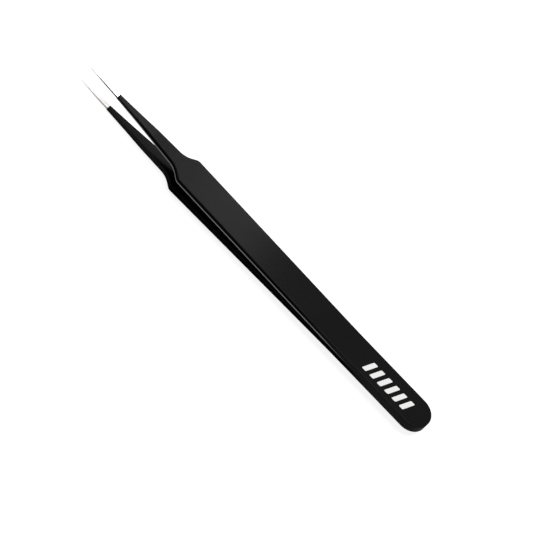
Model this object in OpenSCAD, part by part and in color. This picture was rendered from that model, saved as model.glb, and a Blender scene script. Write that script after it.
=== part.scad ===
/* [Overall sizes] */
// Length over everything, from the rounded rear end to the points
overall_length = 118; // [112:0.5:122]
// Width of each steel arm along the grip
arm_width = 9; // [8.4:0.1:9.6]
// Thickness of the spring steel strip
strip_thickness = 1.2; // [1:0.05:1.3]
// Width of the small flat across the middle of the rounded rear end
end_flat = 0.4; // [0.2:0.1:1]

/* [Coating] */
// Thickness of the anti-static coating on each face
coat_thickness = 0.12; // [0.08:0.01:0.14]
// Radius of the coating on its outer edges
coat_edge_r = 0.3; // [0.2:0.05:0.35]
// Length of the bare tips ahead of the coating
bare_length = 9.6; // [8.6:0.1:11]

/* [Spring shape of the arms] */
// Distance from the rear end at which the arms start to part
part_from = 23.5; // [21:0.5:26]
// Length of the gentle bend that parts them
part_bend = 9; // [6:0.5:12]
// Clear height between the steel faces at the shoulders
shoulder_gap = 2.56; // [2.5:0.02:2.7]
// How far behind the shoulders the arms start to flare more steeply
flare_lead = 2.4; // [1.5:0.1:4]
// Length of that second bend
flare_bend = 6; // [4:0.5:7]
// Clear height between the steel faces where the coating stops
coat_end_gap = 4.64; // [4.6:0.01:4.7]
// Clear height between the points at rest
tip_gap = 5.2; // [5:0.02:5.24]

/* [Shoulders and tips] */
// Length from the shoulders, where the full width ends, to the points
nose_length = 34.1; // [33:0.1:35.5]
// Slope of the shoulders from the length of the arm
shoulder_angle = 40; // [36:1:44]
// Radius of the outer corner of each shoulder
shoulder_r = 1.6; // [1:0.1:2]
// Radius of the hollow where each shoulder runs into the neck
hollow_r = 5.5; // [4:0.25:6.5]
// Length from the shoulders to the root of the neck
shoulder_length = 4.7; // [4.3:0.1:5.2]
// Width of the neck at its root
neck_root_width = 3.84; // [3.6:0.04:4.2]
// Length of the last straight taper of the neck, up to the points
taper_length = 17.4; // [16:0.2:19]
// Width of the neck where that taper starts
taper_width = 2.04; // [1.9:0.02:2.3]
// Width of each point at its end
point_width = 0.1; // [0.06:0.02:0.2]
// Length over which the strip is ground thinner, up to the points
ground_length = 22; // [19:0.5:25]
// Thickness of the steel where the coating stops
tip_root_thickness = 0.6; // [0.56:0.02:0.7]
// Thickness of each point at its end
point_thickness = 0.1; // [0.06:0.02:0.16]

/* [Rear joint] */
// Diameter of each spot weld
weld_d = 3; // [2:0.1:4]
// Height of each spot weld across the joint
weld_height = 0.9; // [0.6:0.05:1.2]
// Distance from the rear end to the first spot weld
rear_weld_at = 7.5; // [6:0.25:9]
// Distance between the two spot welds
weld_spacing = 9; // [7:0.25:11]
// Distance from the rear end to the line about which the sprung arms turn
spring_line_at = 60; // [59:0.5:61]
// Running gap between the fixed and the sprung lengths of an arm
spring_clearance = 0.08; // [0.08:0.01:0.12]

/* [Hidden] */
$fn = 96;
rear_x = overall_length / 2;
half_width = arm_width / 2;
coat_half_width = half_width + coat_thickness;
round_centre = coat_half_width - end_flat / 2;
coat_half_height = strip_thickness + coat_thickness;
// The coating's edges never cut through to the sharp corners of the steel under them
edge_r = min(coat_edge_r, 3.2 * coat_thickness);
arc_steps = 8;
corner_steps = 4;
clear_box = 2 * overall_length;

// Distances from the rear end
coat_end = overall_length - bare_length;
shoulder_at = overall_length - nose_length;
flare_from = shoulder_at - flare_lead;
neck_root_at = shoulder_at + shoulder_length;
taper_from = overall_length - taper_length;
thin_from = overall_length - ground_length;

// Slopes of the three straight lengths of an arm, as rise over run
first_slope = shoulder_gap / 2 / (shoulder_at - part_from - part_bend / 2);
first_rise = first_slope * (coat_end - part_from - part_bend / 2);
flare_slope = (coat_end_gap / 2 - first_rise) / (coat_end - flare_from - flare_bend / 2);
tip_slope = (tip_gap - coat_end_gap) / 2 / (overall_length - coat_end) - first_slope - flare_slope;

function rail_x(s) = rear_x - s;
function bend(d, w) = d <= 0 ? 0 : d < w ? d * d / (2 * w) : d - w / 2;

// Height of the inner and outer steel faces above the middle plane, at a distance from the rear end
function inner_z(s) = first_slope * bend(s - part_from, part_bend)
    + flare_slope * bend(s - flare_from, flare_bend)
    + tip_slope * max(0, s - coat_end);
function steel_thickness(s) = lookup(s, [
    [thin_from, strip_thickness],
    [coat_end, tip_root_thickness],
    [overall_length, point_thickness]]);
function outer_z(s) = inner_z(s) + steel_thickness(s);

// Points of a rounded corner between two directions, given where the straight lines would meet
function corner(p, from, to, r) =
    let (side = sign(to - from),
        run = r * tan(abs(to - from) / 2),
        start = p - run * [cos(from), sin(from)],
        centre = start + side * r * [-sin(from), cos(from)])
    [for (i = [0:arc_steps])
        let (a = from + (to - from) * i / arc_steps)
        centre - side * r * [-sin(a), cos(a)]];

// Plan of one edge of an arm, as distance from the rear end and half width
neck_slope = (neck_root_width - taper_width) / 2 / (taper_from - neck_root_at);
shoulder_slope = tan(shoulder_angle);
hollow_at = (half_width - neck_root_width / 2 + shoulder_slope * shoulder_at
    - neck_slope * neck_root_at) / (shoulder_slope - neck_slope);
hollow_half = half_width - shoulder_slope * (hollow_at - shoulder_at);
edge = concat(
    [[round_centre, half_width]],
    corner([shoulder_at, half_width], 0, -shoulder_angle, shoulder_r),
    corner([hollow_at, hollow_half], -shoulder_angle, -atan(neck_slope), hollow_r),
    [[taper_from, taper_width / 2], [overall_length, point_width / 2]]);

function steel_half(s) = lookup(s, edge);
function edge_slope(s) = (steel_half(s + 0.1) - steel_half(s - 0.1)) / 0.2;
function coat_half(s) = steel_half(s) + coat_thickness * sqrt(1 + pow(edge_slope(s), 2));

// Where the straight and bent lengths of an arm begin and end
bend_steps = 6;
levels = concat(
    [0],
    [for (i = [0:bend_steps]) part_from + part_bend * i / bend_steps],
    [for (i = [0:bend_steps]) flare_from + flare_bend * i / bend_steps],
    [thin_from, coat_end, overall_length]);

// Distance from the rear end at which the coated inner faces come apart
seam_open = part_from + part_bend / 2 + coat_thickness / first_slope;

// Stations at which the shape of an arm changes, in order and at least a little apart
function sorted(a) = len(a) < 2 ? a :
    let (p = a[floor(len(a) / 2)])
    concat(sorted([for (x = a) if (x < p) x]), [p], sorted([for (x = a) if (x > p) x]));
changes = sorted(concat([for (p = edge) p[0]], levels, [seam_open]));
function stations(from, to) = let (apart = 0.02)
    concat([from],
        [for (i = [1:len(changes) - 1])
            if (changes[i] > from + apart && changes[i] < to - apart
                && changes[i] - changes[i - 1] > apart) changes[i]],
        [to]);

sleeve_end = spring_line_at - spring_clearance / 2;
limb_start = spring_line_at + spring_clearance / 2;

// Flat plan of one arm, upright through the whole height
module plan_block() {
    translate([0, 0, -rear_x])
        linear_extrude(height = overall_length)
            union() {
                for (y = [-end_flat / 2, end_flat / 2])
                    translate([rail_x(round_centre), y])
                        circle(r = half_width - end_flat / 2);
                translate([rail_x(round_centre), -end_flat / 2])
                    square([half_width - end_flat / 2, end_flat]);
                polygon(concat(
                    [for (p = edge) [rail_x(p[0]), p[1]]],
                    [for (i = [len(edge) - 1:-1:0]) [rail_x(edge[i][0]), -edge[i][1]]]));
            }
}

// Side view given as points, drawn out across the width
module side_block(points) {
    rotate([90, 0, 0])
        linear_extrude(height = 2 * arm_width, center = true)
            polygon(points);
}

// Steel strip cut to its plan and bent to its side view
module strip() {
    intersection() {
        plan_block();
        side_block(concat(
            [for (s = levels) [rail_x(s), inner_z(s)]],
            [for (i = [len(levels) - 1:-1:0]) [rail_x(levels[i]), outer_z(levels[i])]]));
    }
}

module spot_weld(s) {
    translate([rail_x(s), 0, -weld_height / 2])
        cylinder(d = weld_d, h = weld_height);
}

module half_space(s, rearward) {
    translate([rail_x(s) + (rearward ? 0 : -clear_box), -clear_box / 2, -clear_box / 2])
        cube([clear_box, clear_box, clear_box]);
}

module tail_steel() {
    difference() {
        intersection() {
            strip();
            half_space(sleeve_end, true);
        }
        spot_weld(rear_weld_at);
        spot_weld(rear_weld_at + weld_spacing);
    }
}

module arm_steel() {
    intersection() {
        strip();
        half_space(limb_start, false);
    }
}

// Rectangle with rounded corners, given its half width, the heights of its faces and its two radii
function ring(half, low, high, r_low, r_high) =
    let (mid = [
            [half - r_high, high - r_high, r_high], [r_high - half, high - r_high, r_high],
            [r_low - half, low + r_low, r_low], [half - r_low, low + r_low, r_low]])
    [for (c = [0:3], i = [0:corner_steps])
        let (turn = 90 * (c + i / corner_steps))
        [mid[c][0], mid[c][1]] + mid[c][2] * [cos(turn), sin(turn)]];

// Radius of the inner edges: the coating fills the seam behind the place where the arms part
function inner_edge_r(s) = lookup(s, [
    [part_from, edge_r / 12],
    [seam_open, edge_r]]);

// Cross section of the coating on one arm
function section(s) = [
    for (q = ring(coat_half(s), max(inner_z(s) - coat_thickness, 0), outer_z(s) + coat_thickness,
            inner_edge_r(s), edge_r))
        [rail_x(s), q[0], q[1]]];

// Smooth shell through the cross sections between two distances from the rear end
module coat_shell(from, to) {
    at = stations(from, to);
    n = 4 * (corner_steps + 1);
    last = len(at) - 1;
    polyhedron(
        points = [for (s = at, p = section(s)) p],
        faces = concat(
            [[for (i = [0:n - 1]) n - 1 - i]],
            [for (k = [0:last - 1], i = [0:n - 1])
                [k * n + i, k * n + (i + 1) % n, (k + 1) * n + (i + 1) % n]],
            [for (k = [0:last - 1], i = [0:n - 1])
                [k * n + i, (k + 1) * n + (i + 1) % n, (k + 1) * n + i]],
            [[for (i = [0:n - 1]) last * n + i]]));
}

module end_profile() {
    polygon(ring(coat_half_width, -coat_half_height, coat_half_height, edge_r, edge_r));
}

// Outer half of that profile, moved in by the small flat
module end_half_profile() {
    intersection() {
        translate([-end_flat / 2, 0])
            end_profile();
        translate([0, -clear_box / 2])
            square([clear_box, clear_box]);
    }
}

// Closed rear end of the coating: two quarter rounds, the flat between them and a straight length
module closed_end() {
    for (turn = [0, -90])
        translate([rail_x(round_centre), turn < 0 ? -end_flat / 2 : end_flat / 2, 0])
            rotate([0, 0, turn])
                rotate_extrude(angle = 90)
                    end_half_profile();
    translate([rail_x(round_centre), end_flat / 2, 0])
        rotate([90, 0, 0])
            linear_extrude(height = end_flat)
                end_half_profile();
    translate([rail_x(part_from), 0, 0])
        rotate([90, 0, 90])
            linear_extrude(height = part_from - round_centre)
                end_profile();
}

module upper_tail() {
    color([0.62, 0.63, 0.65])
        tail_steel();
}

module lower_tail() {
    color([0.62, 0.63, 0.65])
        mirror([0, 0, 1])
            tail_steel();
}

module rear_weld() {
    color([0.5, 0.48, 0.46])
        spot_weld(rear_weld_at);
}

module front_weld() {
    color([0.5, 0.48, 0.46])
        spot_weld(rear_weld_at + weld_spacing);
}

module rear_coating() {
    color([0.07, 0.07, 0.075])
        difference() {
            union() {
                closed_end();
                coat_shell(part_from, sleeve_end);
                mirror([0, 0, 1])
                    coat_shell(part_from, sleeve_end);
            }
            strip();
            mirror([0, 0, 1])
                strip();
        }
}

module arm_coating() {
    difference() {
        coat_shell(limb_start, coat_end);
        strip();
    }
}

module upper_arm() {
    color([0.75, 0.76, 0.78])
        arm_steel();
}

module lower_arm() {
    color([0.75, 0.76, 0.78])
        mirror([0, 0, 1])
            arm_steel();
}

module upper_coating() {
    color([0.07, 0.07, 0.075])
        arm_coating();
}

module lower_coating() {
    color([0.07, 0.07, 0.075])
        mirror([0, 0, 1])
            arm_coating();
}

upper_tail();
lower_tail();
rear_weld();
front_weld();
rear_coating();
upper_arm();
upper_coating();
lower_arm();
lower_coating();
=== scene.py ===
"""Anti-static tweezers: the looks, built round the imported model."""

import math
from collections import namedtuple

import bpy
from mathutils import Matrix, Vector


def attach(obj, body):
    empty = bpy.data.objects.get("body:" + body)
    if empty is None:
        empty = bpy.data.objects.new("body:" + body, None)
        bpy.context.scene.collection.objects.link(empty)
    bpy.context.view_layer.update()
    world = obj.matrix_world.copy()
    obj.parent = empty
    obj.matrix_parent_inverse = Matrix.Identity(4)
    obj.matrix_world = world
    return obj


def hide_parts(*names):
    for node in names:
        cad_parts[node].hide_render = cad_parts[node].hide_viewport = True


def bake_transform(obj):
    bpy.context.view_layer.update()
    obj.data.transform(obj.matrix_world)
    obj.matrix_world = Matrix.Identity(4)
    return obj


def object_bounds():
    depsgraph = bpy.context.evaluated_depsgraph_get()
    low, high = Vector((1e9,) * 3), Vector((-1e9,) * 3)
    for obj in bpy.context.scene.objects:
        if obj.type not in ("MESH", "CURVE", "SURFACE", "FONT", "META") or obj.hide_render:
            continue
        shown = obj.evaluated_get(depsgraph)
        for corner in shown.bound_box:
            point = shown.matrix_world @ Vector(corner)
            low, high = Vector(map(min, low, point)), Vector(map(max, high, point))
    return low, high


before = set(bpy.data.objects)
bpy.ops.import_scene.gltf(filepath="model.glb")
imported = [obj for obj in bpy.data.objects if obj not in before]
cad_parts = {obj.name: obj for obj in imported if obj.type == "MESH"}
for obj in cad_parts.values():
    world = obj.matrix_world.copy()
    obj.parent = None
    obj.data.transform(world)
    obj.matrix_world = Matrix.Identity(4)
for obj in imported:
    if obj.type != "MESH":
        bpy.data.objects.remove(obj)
cad_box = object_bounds()

MM = 0.001

# Sizes of the real tool in millimetres, the same as in the part's source
LENGTH = 118.0
ARM_WIDTH = 9.0
STRIP = 1.2
COAT = 0.12
EDGE_R = 0.3
PART_FROM = 23.5
PART_BEND = 9.0
SHOULDER_GAP = 2.56
COAT_END_GAP = 4.64
TIP_GAP = 5.2
COAT_END = LENGTH - 9.6
SHOULDER = LENGTH - 34.1
FLARE_FROM = SHOULDER - 2.4
FLARE_BEND = 6.0
NECK_ROOT = SHOULDER + 4.7
NECK_ROOT_WIDTH = 3.84
TAPER_FROM = LENGTH - 17.4
TAPER_WIDTH = 2.04
THIN_FROM = LENGTH - 22.0
TIP_ROOT = 0.6
POINT = 0.1
SHOULDER_ANGLE = 40.0
SHOULDER_R = 1.6
HOLLOW_R = 5.5
END_FLAT = 0.4

REAR_X = LENGTH / 2
HALF = ARM_WIDTH / 2
ROUND_CENTRE = COAT + HALF - END_FLAT / 2

# The bare tips keep this much thickness and width until they run down to the points
POINT_FROM = LENGTH - 6.0
POINT_ROOT = 0.52
POINT_ROOT_WIDTH = 0.88

# Rounding of the front end of the coating, of each point, and of the coating's edges inside the seam
COATING_LIP = 0.07
POINT_LIP = 0.03
SEAM_EDGE_R = 0.004

# How finely each length of an arm is divided, from the rear end to the points
STEPS = {"rear round": 24, "grip": 76, "shoulder": 10, "slope": 3, "hollow": 14, "neck": 12,
         "taper": 18, "blade": 12, "point": 14, "lip": 4, "long edge": 7}

# A place nearer than this to the front end of a strip is left out
LEAST_STEP = 0.02

# How far the band of painted highlight may reach up the narrow side, and the most of its flat part that it
# takes
HIGHLIGHT_REACH = 0.3
HIGHLIGHT_REACH_SHARE = 0.6


# The curve of an arm, by distance from the rear end

def bend(d, w):
    """Rise of a strip of slope 1 that starts to bend at d = 0 and is straight again at d = w."""
    if d <= 0:
        return 0.0
    if d < w:
        return d * d / (2 * w)
    return d - w / 2


def between(s, table):
    """Straight-line value from a table of (distance, value)."""
    if s <= table[0][0]:
        return table[0][1]
    for (s0, v0), (s1, v1) in zip(table, table[1:]):
        if s <= s1:
            return v0 + (v1 - v0) * (s - s0) / (s1 - s0)
    return table[-1][1]


FIRST_SLOPE = SHOULDER_GAP / 2 / (SHOULDER - PART_FROM - PART_BEND / 2)
FIRST_RISE = FIRST_SLOPE * (COAT_END - PART_FROM - PART_BEND / 2)
FLARE_SLOPE = (COAT_END_GAP / 2 - FIRST_RISE) / (COAT_END - FLARE_FROM - FLARE_BEND / 2)
TIP_SLOPE = (TIP_GAP - COAT_END_GAP) / 2 / (LENGTH - COAT_END) - FIRST_SLOPE - FLARE_SLOPE

# Where the coated inner faces come apart
SEAM_OPEN = PART_FROM + PART_BEND / 2 + COAT / FIRST_SLOPE


def inner_z(s):
    """Height of the inner face of the steel above the middle plane."""
    return (FIRST_SLOPE * bend(s - PART_FROM, PART_BEND)
            + FLARE_SLOPE * bend(s - FLARE_FROM, FLARE_BEND)
            + TIP_SLOPE * max(0.0, s - COAT_END))


def outer_z(s):
    """Height of the outer face of the steel, which is ground thinner towards the point."""
    return inner_z(s) + between(s, [(THIN_FROM, STRIP), (COAT_END, TIP_ROOT),
                                    (POINT_FROM, POINT_ROOT), (LENGTH, POINT)])


def coating_low(s):
    """Height of the inner face of the coating, which closes the seam where the arms meet."""
    return max(inner_z(s) - COAT, 0.0)


def coating_high(s):
    """Height of the outer face of the coating."""
    return outer_z(s) + COAT


def outer_edge_r(s):
    """Radius of the outer edges of the coating, which is the same all along."""
    return EDGE_R


def inner_edge_r(s):
    """Radius of its inner edges: the coating fills the seam behind the place where the arms part."""
    return between(s, [(PART_FROM, SEAM_EDGE_R), (SEAM_OPEN, EDGE_R)])


def tip_edge_r(s):
    """Radius of the edges of the steel: the bare tips are ground rounder, down to needle points."""
    return between(s, [(COAT_END, 0.12), (LENGTH - 3, 0.07), (LENGTH, 0.03)])


# The plan of an arm: each place is a distance, a half width and the outward direction there

def rounded_corner(p, a0, a1, r, steps):
    """Places on a fillet between two directions that would meet at p."""
    side = math.copysign(1, a1 - a0)
    run = r * math.tan(abs(a1 - a0) / 2)
    start = (p[0] - run * math.cos(a0), p[1] - run * math.sin(a0))
    centre = (start[0] - side * r * math.sin(a0), start[1] + side * r * math.cos(a0))
    places = []
    for i in range(steps + 1):
        a = a0 + (a1 - a0) * i / steps
        normal = (-math.sin(a), math.cos(a))
        places.append((centre[0] - side * r * normal[0], centre[1] - side * r * normal[1], normal))
    return places


def straight(p, q, steps):
    """Places on the line between p and q, with neither end."""
    a = math.atan2(q[1] - p[1], q[0] - p[0])
    normal = (-math.sin(a), math.cos(a))
    return [(p[0] + (q[0] - p[0]) * i / steps, p[1] + (q[1] - p[1]) * i / steps, normal)
            for i in range(1, steps)]


def rear_round():
    """The rounded rear end, from the middle of its small flat to the side of the grip."""
    r = HALF - END_FLAT / 2
    steps = STEPS["rear round"]
    places = [(COAT, 0.0, (-1.0, 0.0))]
    for i in range(steps + 1):
        a = math.pi / 2 * (1 - i / steps)
        normal = (-math.sin(a), math.cos(a))
        places.append((ROUND_CENTRE + r * normal[0], END_FLAT / 2 + r * normal[1], normal))
    return places


def shoulder_and_hollow():
    """The rounded shoulder that ends the full width, and the hollow that runs from it to the neck."""
    neck_slope = (NECK_ROOT_WIDTH - TAPER_WIDTH) / 2 / (TAPER_FROM - NECK_ROOT)
    steep = math.radians(SHOULDER_ANGLE)
    slope = math.tan(steep)
    fall = HALF - NECK_ROOT_WIDTH / 2
    hollow_s = (fall + slope * SHOULDER - neck_slope * NECK_ROOT) / (slope - neck_slope)
    hollow_y = HALF - slope * (hollow_s - SHOULDER)
    shoulder = rounded_corner((SHOULDER, HALF), 0, -steep, SHOULDER_R, STEPS["shoulder"])
    hollow = rounded_corner((hollow_s, hollow_y), -steep, -math.atan(neck_slope), HOLLOW_R,
                            STEPS["hollow"])
    return shoulder, hollow


def arm_edge(end):
    """One edge of an arm, from the middle of its rear end to the distance named end."""
    rear = rear_round()
    shoulder, hollow = shoulder_and_hollow()
    taper_start = (TAPER_FROM, TAPER_WIDTH / 2)
    point = (LENGTH, POINT / 2)
    blade_start = (COAT_END, between(COAT_END, [taper_start, point]))
    point_root = (POINT_FROM, POINT_ROOT_WIDTH / 2)
    path = rear + straight(rear[-1], shoulder[0], STEPS["grip"]) + shoulder
    path += straight(shoulder[-1], hollow[0], STEPS["slope"]) + hollow
    path += straight(hollow[-1], taper_start, STEPS["neck"])
    for here, ahead, length in ((taper_start, blade_start, "taper"), (blade_start, point_root, "blade"),
                                (point_root, point, "point")):
        path += straight(here, ahead, STEPS[length])
        path.append((*ahead, path[-1][2]))
    path = [place for place in path if place[0] < end - LEAST_STEP]
    last_y = between(end, [taper_start, blade_start, point_root, point])
    return path + [(end, last_y, path[-1][2])]


# Meshes

# A point of a cross section: the face that it belongs to, the radius of the long edge beside it, the
# angle that it lies round that edge, how far it is lifted up the narrow side, and its share of the
# inner edge, from 0 to 1
# The lift bounds the band of painted highlight up the narrow side, and the share of the inner edge is where
# that painted highlight lies
Corner = namedtuple("Corner", "face r turn lift edge")


def cross_section(r_out, r_in, flat):
    """Corners from the outer face of a strip, over its narrow side, to its inner face. flat is the
    width of the narrow side between its two rounded edges."""
    steps = STEPS["long edge"]
    corners = [Corner("outer", r_out, math.pi / 2 * k / steps, 0.0, 0.0) for k in range(steps + 1)]
    corners.append(Corner("inner", r_in, math.pi / 2, min(HIGHLIGHT_REACH, HIGHLIGHT_REACH_SHARE * flat), 0.0))
    corners += [Corner("inner", r_in, math.pi / 2 * (1 - k / steps), 0.0, min(1.0, 2.0 - 2.0 * k / steps))
                for k in range(steps + 1)]
    return corners


def strip_path(end, lip):
    """Places along one edge of a strip with a rounded front end, and how far each is drawn in."""
    path = [(place, 0.0) for place in arm_edge(end - lip)]
    last = path[-1][0]
    for k in range(1, STEPS["lip"] + 1):
        a = math.pi / 2 * k / STEPS["lip"]
        s = end - lip + lip * math.sin(a)
        path.append(((s, last[1], last[2]), lip * (1 - math.cos(a))))
    return path


def strip_faces(rows, side):
    """Faces of a strip whose two edges are rows of points: narrow sides, broad faces and front end."""
    faces = []
    last = len(rows[1][0]) - 1
    for i in range(len(rows[1]) - 1):
        for sign in (1, -1):
            a, b = rows[sign][i], rows[sign][i + 1]
            for j in range(last):
                quad = [a[j], b[j], b[j + 1], a[j + 1]]
                faces.append(quad if sign * side > 0 else quad[::-1])
        for j in (0, last):
            a, b = rows[1][i][j], rows[1][i + 1][j]
            c, d = rows[-1][i + 1][j], rows[-1][i][j]
            quad = [a, d, c, b] if d != a else [a, c, b]
            faces.append(quad if (j == 0) == (side > 0) else quad[::-1])
    front = rows[1][-1] + rows[-1][-1][::-1]
    faces.append(front[::-1] if side > 0 else front)
    return faces


def new_piece(name, verts, faces, material):
    """Object of one mesh and one material, linked to the scene."""
    mesh = bpy.data.meshes.new(name)
    mesh.from_pydata(verts, [], faces)
    mesh.validate()
    mesh.materials.append(material)
    piece = bpy.data.objects.new(name, mesh)
    bpy.context.scene.collection.objects.link(piece)
    return piece


def strip_piece(name, side, end, lip, grow, low, high, outer_r, inner_r, shares, material):
    """One arm as a closed mesh, from its rear end to the distance named end. side is 1 for the upper
    arm and -1 for the lower one, and lip is the rounding of the front end. grow is how far the mesh
    stands outside the plan of the steel. low and high give the heights of its faces by distance, and
    outer_r and inner_r the radii of its long edges. shares gives, by distance and corner, the numbers
    that the mesh carries for its material."""
    verts = []
    carried = {}
    rows = {1: [], -1: []}
    for sign in (1, -1):
        for i, ((s0, y0, normal), shrink) in enumerate(strip_path(end, lip)):
            if i == 0 and sign == -1:
                rows[sign].append(rows[1][0])
                continue
            row = []
            flat = high(s0) - low(s0) - outer_r(s0) - inner_r(s0) - 2 * shrink
            for corner in cross_section(outer_r(s0), inner_r(s0), flat):
                inset = corner.r * (1 - math.sin(corner.turn)) + shrink - grow
                drop = corner.r * (1 - math.cos(corner.turn)) + shrink + corner.lift
                s = s0 - inset * normal[0]
                y = y0 - inset * normal[1]
                z = high(s) - drop if corner.face == "outer" else low(s) + drop
                row.append(len(verts))
                verts.append(((REAR_X - s) * MM, sign * y * MM, side * z * MM))
                for share, value in shares(s0, corner).items():
                    carried.setdefault(share, []).append(value)
            rows[sign].append(row)
    piece = new_piece(name, verts, strip_faces(rows, side), material)
    for polygon in piece.data.polygons:
        polygon.use_smooth = True
    for share, values in carried.items():
        piece.data.attributes.new(share, "FLOAT", "POINT").data.foreach_set("value", values)
    evened = piece.modifiers.new("even_shading", "WEIGHTED_NORMAL")
    evened.mode = "FACE_AREA_WITH_ANGLE"
    evened.weight = 50
    evened.keep_sharp = False
    return piece


# Materials

class Wire:
    """A shader socket that takes part in sums: each sum of wires and numbers is a Math node."""

    def __init__(self, paint, socket):
        self.paint = paint
        self.socket = socket

    def _sum(self, operation, *values):
        return self.paint.node("ShaderNodeMath", {"operation": operation}, dict(enumerate(values)))

    def __add__(self, other):
        return self._sum("ADD", self, other)

    def __sub__(self, other):
        return self._sum("SUBTRACT", self, other)

    def __rsub__(self, other):
        return self._sum("SUBTRACT", other, self)

    def __mul__(self, other):
        return self._sum("MULTIPLY", self, other)

    def at_most(self, other):
        return self._sum("MINIMUM", self, other)

    __radd__ = __add__
    __rmul__ = __mul__


class Paint:
    """The nodes of a new material, or of the world, and the one way they are made."""

    def __init__(self, owner):
        self.owner = owner
        owner.use_nodes = True
        self.tree = owner.node_tree
        self.tree.nodes.clear()

    def node(self, kind, settings=None, inputs=None, output=0):
        """A new node with these settings and these values or wires, as the wire from its output."""
        made = self.tree.nodes.new(kind)
        for name, value in (settings or {}).items():
            setattr(made, name, value)
        for name, value in (inputs or {}).items():
            if isinstance(value, Wire):
                self.tree.links.new(value.socket, made.inputs[name])
            else:
                made.inputs[name].default_value = value
        return None if output is None else Wire(self, made.outputs[output])

    def place(self, stretch=(1, 1, 1)):
        """Position on the piece in metres, stretched by the three factors."""
        here = self.node("ShaderNodeTexCoord", output="Object")
        return self.node("ShaderNodeVectorMath", {"operation": "MULTIPLY"}, {0: here, 1: stretch})

    def noise(self, size, detail=2.0, stretch=(1, 1, 1)):
        """Noise from 0 to 1 whose lumps are about size metres across."""
        return self.node("ShaderNodeTexNoise", {},
                         {"Vector": self.place(stretch), "Scale": 1 / size, "Detail": detail})

    def share(self, name):
        """The number that the mesh carries under this name at each of its points."""
        return self.node("ShaderNodeAttribute", {"attribute_name": name}, output="Fac")

    def blend(self, share, a, b):
        """Colour a where share is 0 and b where it is 1."""
        return self.node("ShaderNodeMix", {"data_type": "RGBA"}, {0: share, 6: a, 7: b}, output=2)

    def bump(self, height, distance):
        """The surface's direction with height, from 0 to 1, standing out by distance metres."""
        return self.node("ShaderNodeBump", {},
                         {"Height": height, "Distance": distance, "Strength": 1.0})

    def seen(self):
        """1 for what the camera sees, straight or in a gloss or through glass, and 0 elsewhere."""
        path = "ShaderNodeLightPath"
        return (self.node(path, output="Is Camera Ray") + self.node(path, output="Is Glossy Ray")
                + self.node(path, output="Is Transmission Ray")).at_most(1)

    def surface(self, inputs):
        """The shader of a solid surface."""
        return self.node("ShaderNodeBsdfPrincipled", {}, inputs)

    def finish(self, shader, output="ShaderNodeOutputMaterial"):
        """The material or world, now with its shader."""
        self.node(output, {}, {"Surface": shader}, output=None)
        return self.owner


def coating_material():
    """Satin black coating with a fine grain, with a painted highlight of light grey along the inner edges,
    and a painted shade darkening the black where the shine is low.
    """
    cool_black = (0.0042, 0.0043, 0.0048, 1)
    warm_black = (0.0066, 0.0065, 0.0064, 1)
    painted_shade_black = (0.0042, 0.0042, 0.0046, 1)
    highlight_grey = (0.82, 0.82, 0.83, 1)
    paint = Paint(bpy.data.materials.new("satin_black_coating"))
    grain = paint.noise(0.00012, 3)
    ripple = paint.noise(0.0009, 1)
    cloud = paint.noise(0.012, 2)
    rubbed = paint.share("rubbed")
    satin = paint.share("satin")
    # Painted shade: where the shine share is below 1 the black moves to a darker one
    black = paint.blend(satin, painted_shade_black, paint.blend(cloud * 0.6 + grain * 0.4, cool_black, warm_black))
    return paint.finish(paint.surface({
        # Painted highlight: light grey mixed over the black along the inner edges
        "Base Color": paint.blend(rubbed * (0.7 + 0.3 * grain), black, highlight_grey),
        "Roughness": 0.55 + 0.1 * (grain - 0.5),
        "Specular IOR Level": 0.0,
        "Coat Weight": satin * (0.085 + 0.02 * cloud),
        "Coat Roughness": 0.22,
        "Normal": paint.bump(0.35 * grain + 0.65 * ripple, 0.000002)}))


def steel_material():
    """Bare stainless steel: the faces ground bright along the tips, the flanks and inner faces rougher and
    darkened by a painted shade.
    """
    ground_warm = (0.66, 0.65, 0.63, 1)
    ground_bright = (0.83, 0.825, 0.81, 1)
    painted_shade_dark = (0.050, 0.042, 0.036, 1)
    painted_shade_light = (0.09, 0.076, 0.066, 1)
    paint = Paint(bpy.data.materials.new("ground_steel"))
    lines = paint.noise(0.00005, 3, (0.06, 1, 1))
    patches = paint.noise(0.0012, 2, (0.4, 1, 1))
    flank = paint.share("flank")
    bright = paint.blend(lines * 0.5 + patches * 0.5, ground_warm, ground_bright)
    # Painted shade: near-black steel mixed in on the narrow sides and inner faces
    shaded_steel = paint.blend(patches, painted_shade_dark, painted_shade_light)
    return paint.finish(paint.surface({
        "Base Color": paint.blend(flank, bright, shaded_steel),
        "Metallic": 1.0,
        "Roughness": 0.24 + 0.14 * (lines - 0.5) + 0.06 * patches + 0.15 * flank,
        "Normal": paint.bump(lines, 0.0000015)}))


def weld_material():
    """Dull steel of a spot weld, mottled from a bluish to a straw grey."""
    bluish_grey = (0.30, 0.30, 0.34, 1)
    straw_grey = (0.55, 0.52, 0.47, 1)
    paint = Paint(bpy.data.materials.new("weld_steel"))
    mottle = paint.noise(0.0004, 3)
    return paint.finish(paint.surface({
        "Base Color": paint.blend(mottle, bluish_grey, straw_grey),
        "Metallic": 1.0,
        "Roughness": 0.4 + 0.2 * mottle,
        "Normal": paint.bump(mottle, 0.00001)}))


def ink_material():
    """White printing ink, a thin film with a faint grain."""
    thin_white = (0.84, 0.84, 0.83, 1)
    full_white = (0.93, 0.93, 0.92, 1)
    paint = Paint(bpy.data.materials.new("white_ink"))
    grain = paint.noise(0.0002, 3)
    return paint.finish(paint.surface({
        "Base Color": paint.blend(grain, thin_white, full_white),
        "Roughness": 0.5 + 0.1 * (grain - 0.5),
        "Normal": paint.bump(grain, 0.000004)}))


# The two arms

# Shine of the coating on the inner broad faces, where the outer ones have 1. Below 1 the base colour also
# moves towards the darker black of the painted shade
INNER_SATIN_AND_SHADE = 0.62

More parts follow.
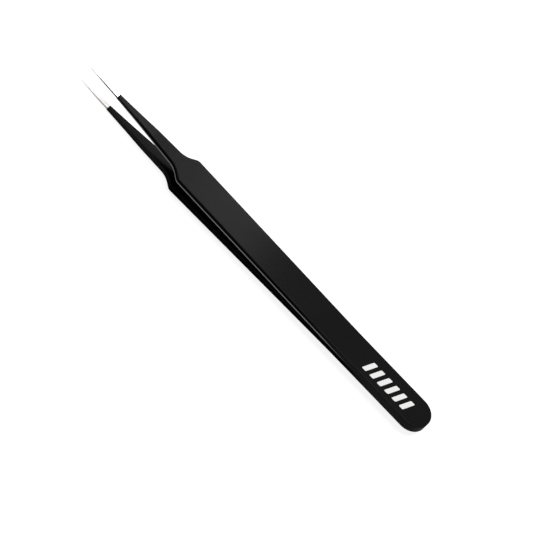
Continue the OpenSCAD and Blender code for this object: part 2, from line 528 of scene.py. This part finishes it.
# Shine of the coating on the narrow sides by distance, greatest at the rear. Where it is low the base
# colour also takes the darker black of the painted shade
FLANK_SATIN_AND_SHADE = {
    "upper": [(26, 1.45), (42, 0.0)],
    "lower": [(16, 1.45), (25, 0.0), (84, 0.0), (91, 1.0), (LENGTH, 1.0)]}

# Strength of the painted highlight, a light grey base colour along the inner edges, by distance: a full
# line on the upper arm and a faint lift on the lower arm's neck
EDGE_HIGHLIGHT = {
    "upper": [(LENGTH, 1.0)],
    "lower": [(84, 0.0), (91, 0.022), (LENGTH, 0.022)]}

# How rough the bare steel is, and how much painted shade darkens it, on the narrow sides of each tip, and
# on the inner faces, by distance
FLANK_DULL_AND_SHADE = {
    "upper": [(LENGTH, 1.0)],
    "lower": [(COAT_END, 0.64), (LENGTH - 5, 0.5), (LENGTH, 0.35)]}
INNER_DULL_AND_SHADE = [(COAT_END, 0.61), (COAT_END + 3, 0.57), (LENGTH - 5, 0.46), (LENGTH, 0.4)]

# How late round a long edge the narrow side's finish and painted shade take over from the broad face's
COATING_TURN = 8
STEEL_TURN = 0.6


def coating_shares(label):
    """Strength of the painted highlight, and the coating's shine with its painted shade, for an arm by
    distance and corner.
    """
    def at(s, corner):
        # Strength of the painted highlight at this corner
        highlight_strength = between(s, EDGE_HIGHLIGHT[label]) * min(1.0, inner_edge_r(s) / EDGE_R)
        broad = 1.0 if corner.face == "outer" else INNER_SATIN_AND_SHADE
        narrow = between(s, FLANK_SATIN_AND_SHADE[label])
        return {"rubbed": highlight_strength * corner.edge,
                "satin": broad + (narrow - broad) * math.sin(corner.turn) ** COATING_TURN}
    return at


def steel_shares(label):
    """How rough and how darkened by painted shade the steel of an arm is, by distance and corner."""
    def at(s, corner):
        broad = 0.0 if corner.face == "outer" else between(s, INNER_DULL_AND_SHADE)
        narrow = between(s, FLANK_DULL_AND_SHADE[label])
        return {"flank": broad + (narrow - broad) * math.sin(corner.turn) ** STEEL_TURN}
    return at


coating = coating_material()
steel = steel_material()
weld = weld_material()

for side, label in ((1, "upper"), (-1, "lower")):
    skin = strip_piece(label + "_arm_coating", side, COAT_END, COATING_LIP, COAT, coating_low,
                       coating_high, outer_edge_r, inner_edge_r, coating_shares(label), coating)
    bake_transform(skin)
    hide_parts(label + "_coating", "rear_coating")

    blade = strip_piece(label + "_arm_steel", side, LENGTH, POINT_LIP, 0.0, inner_z,
                        outer_z, tip_edge_r, tip_edge_r, steel_shares(label), steel)
    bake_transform(blade)
    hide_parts(label + "_arm", label + "_tail")

for node in ("rear_weld", "front_weld"):
    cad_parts[node].data.materials.clear()
    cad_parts[node].data.materials.append(weld)


# The print: plain slanted bars, with sizes in millimetres

BARS = 6
BAR_WIDTH = 1.35
BAR_HEIGHT = 4.0
BAR_LEAN = 1.3
BAR_CORNER_R = 0.28
BAR_CORNER_STEPS = 5
FIRST_BAR = 6.8
BAR_PITCH = 2.55
BARS_TO_NEAR_SIDE = 0.83
INK_FILM = 0.012


def bar_outline():
    """Rounded slanted bar about its own centre."""
    outline = []
    for cx, cy, a0 in ((1, 1, 0), (-1, 1, 90), (-1, -1, 180), (1, -1, 270)):
        for k in range(BAR_CORNER_STEPS + 1):
            a = math.radians(a0 + 90 * k / BAR_CORNER_STEPS)
            x = cx * (BAR_WIDTH / 2 - BAR_CORNER_R) + BAR_CORNER_R * math.cos(a)
            y = cy * (BAR_HEIGHT / 2 - BAR_CORNER_R) + BAR_CORNER_R * math.sin(a)
            outline.append((x + BAR_LEAN * y / BAR_HEIGHT, y))
    return outline


def printed_bars():
    """A row of bars of white ink on the upper face near the rear end."""
    top = (STRIP + COAT) * MM
    film = INK_FILM * MM
    outline = bar_outline()
    n = len(outline)
    verts = []
    faces = []
    for bar in range(BARS):
        centre = FIRST_BAR + BAR_PITCH * bar
        base = len(verts)
        for z in (top - film, top + film):
            verts += [((REAR_X - centre + x) * MM, (y - BARS_TO_NEAR_SIDE) * MM, z) for x, y in outline]
        faces.append([base + n + k for k in range(n)])
        faces.append([base + k for k in range(n)][::-1])
        faces += [[base + k, base + (k + 1) % n, base + n + (k + 1) % n, base + n + k] for k in range(n)]
    bars = new_piece("printed_bars", verts, faces, ink_material())
    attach(bars, "grip")


printed_bars()


# Floor, light and camera, with places and sizes in metres

FLOOR_HALF = 3.0
FLOOR_BELOW = 0.00002
FLOOR_GLOW = 0.87

# How bright the world is as a light, where 1 is the white that it shows
ROOM_LIGHT = 0.2

# The two softboxes side by side: name, from where to where along the tool, and power in watts
SOFTBOXES = [("grip_softbox", -0.0275, 0.001, 0.02316), ("tip_softbox", -0.063, -0.037, 0.02093)]
SOFTBOX_ASIDE = 0.094
SOFTBOX_HIGH = 0.100
SOFTBOX_DEPTH = 0.045

OVERHEAD_PLACE = (0.1, 0.25, 1.2)
OVERHEAD_SIZE = 0.9
OVERHEAD_POWER = 11.0

# Lean of the view from straight above, its pitch along the tool, and the turn of the tool in the frame
VIEW_LEAN = math.radians(43.276)
VIEW_PITCH = math.radians(1.745)
VIEW_TURN = math.radians(46.1158)

# The camera's distance in millimetres, the scale and size of the photograph in pixels, and what lies
# in its middle: millimetres behind the tool's centre, then pixels to the right and up
CAMERA_DISTANCE = 1710.77
PIXELS_PER_MM = 4.1575
FRAME_PIXELS = 533.0
AIM_X = 6.53
AIM_RIGHT = -7.76
AIM_UP = 2.7


def floor_material():
    """Pale floor that shows white to the camera and in reflections, and still takes a shadow."""
    paint = Paint(bpy.data.materials.new("pale_floor"))
    speckle = paint.noise(0.004, 2)
    matt = paint.surface({
        "Base Color": paint.blend(speckle, (0.26, 0.26, 0.26, 1), (0.28, 0.28, 0.28, 1)),
        "Roughness": 0.9})
    glow = paint.node("ShaderNodeEmission", {},
                      {"Color": (1, 1, 1, 1), "Strength": paint.seen() * FLOOR_GLOW})
    return paint.finish(paint.node("ShaderNodeAddShader", {}, {0: matt, 1: glow}))


def make_floor():
    """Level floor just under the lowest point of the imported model."""
    level = cad_box[0].z - FLOOR_BELOW
    corners = [(x * FLOOR_HALF, y * FLOOR_HALF, level) for x, y in ((-1, -1), (1, -1), (1, 1), (-1, 1))]
    floor = new_piece("floor", corners, [(0, 1, 2, 3)], floor_material())


def make_world():
    """Soft even light from all sides, which shows white to the camera and in reflections."""
    paint = Paint(bpy.data.worlds.new("studio"))
    light = paint.node("ShaderNodeBackground", {},
                       {"Color": (1, 1, 1, 1), "Strength": ROOM_LIGHT + (1 - ROOM_LIGHT) * paint.seen()})
    bpy.context.scene.world = paint.finish(light, "ShaderNodeOutputWorld")


def soft_light(name, place, target, size, power):
    """Rectangular lamp at place that faces target."""
    data = bpy.data.lights.new(name, "AREA")
    data.shape = "RECTANGLE"
    data.size, data.size_y = size
    data.energy = power
    lamp = bpy.data.objects.new(name, data)
    lamp.location = place
    lamp.rotation_mode = "QUATERNION"
    lamp.rotation_quaternion = (Vector(place) - Vector(target)).to_track_quat("Z", "Y")
    bpy.context.scene.collection.objects.link(lamp)


def make_lights():
    """Two softboxes on the far side, and one large lamp overhead. The short gap between the
    softboxes shows as a duller band across the shoulders."""
    for name, x_from, x_to, power in SOFTBOXES:
        x = (x_from + x_to) / 2
        soft_light(name, (x, SOFTBOX_ASIDE, SOFTBOX_HIGH), (x, 0, 0), (x_to - x_from, SOFTBOX_DEPTH), power)
    soft_light("overhead", OVERHEAD_PLACE, (0, 0, 0), (OVERHEAD_SIZE, OVERHEAD_SIZE), OVERHEAD_POWER)


def make_camera():
    """Camera of the photograph: far off, above the near side, with the tool lying across the frame."""
    lean_sin, lean_cos = math.sin(VIEW_LEAN), math.cos(VIEW_LEAN)
    pitch_sin, pitch_cos = math.sin(VIEW_PITCH), math.cos(VIEW_PITCH)
    to_camera = Vector((pitch_sin, -lean_sin * pitch_cos, lean_cos * pitch_cos))
    along = Vector((pitch_cos, lean_sin * pitch_sin, -lean_cos * pitch_sin))
    across = Vector((0, -lean_cos, -lean_sin))
    right = along * math.cos(VIEW_TURN) - across * math.sin(VIEW_TURN)
    up = -along * math.sin(VIEW_TURN) - across * math.cos(VIEW_TURN)
    aim = Vector((AIM_X, 0, 0)) + right * (AIM_RIGHT / PIXELS_PER_MM) + up * (AIM_UP / PIXELS_PER_MM)
    data = bpy.data.cameras.new("camera")
    data.sensor_width = 36
    data.lens = data.sensor_width * PIXELS_PER_MM * CAMERA_DISTANCE / FRAME_PIXELS
    data.clip_start = 0.05
    data.clip_end = 20
    camera = bpy.data.objects.new("camera", data)
    place = (aim + to_camera * CAMERA_DISTANCE) * MM
    camera.matrix_world = Matrix.Translation(place) @ Matrix((right, up, to_camera)).transposed().to_4x4()
    bpy.context.scene.collection.objects.link(camera)
    bpy.context.scene.camera = camera


make_floor()
make_world()
make_lights()
make_camera()
bpy.context.scene.view_settings.view_transform = "Standard"
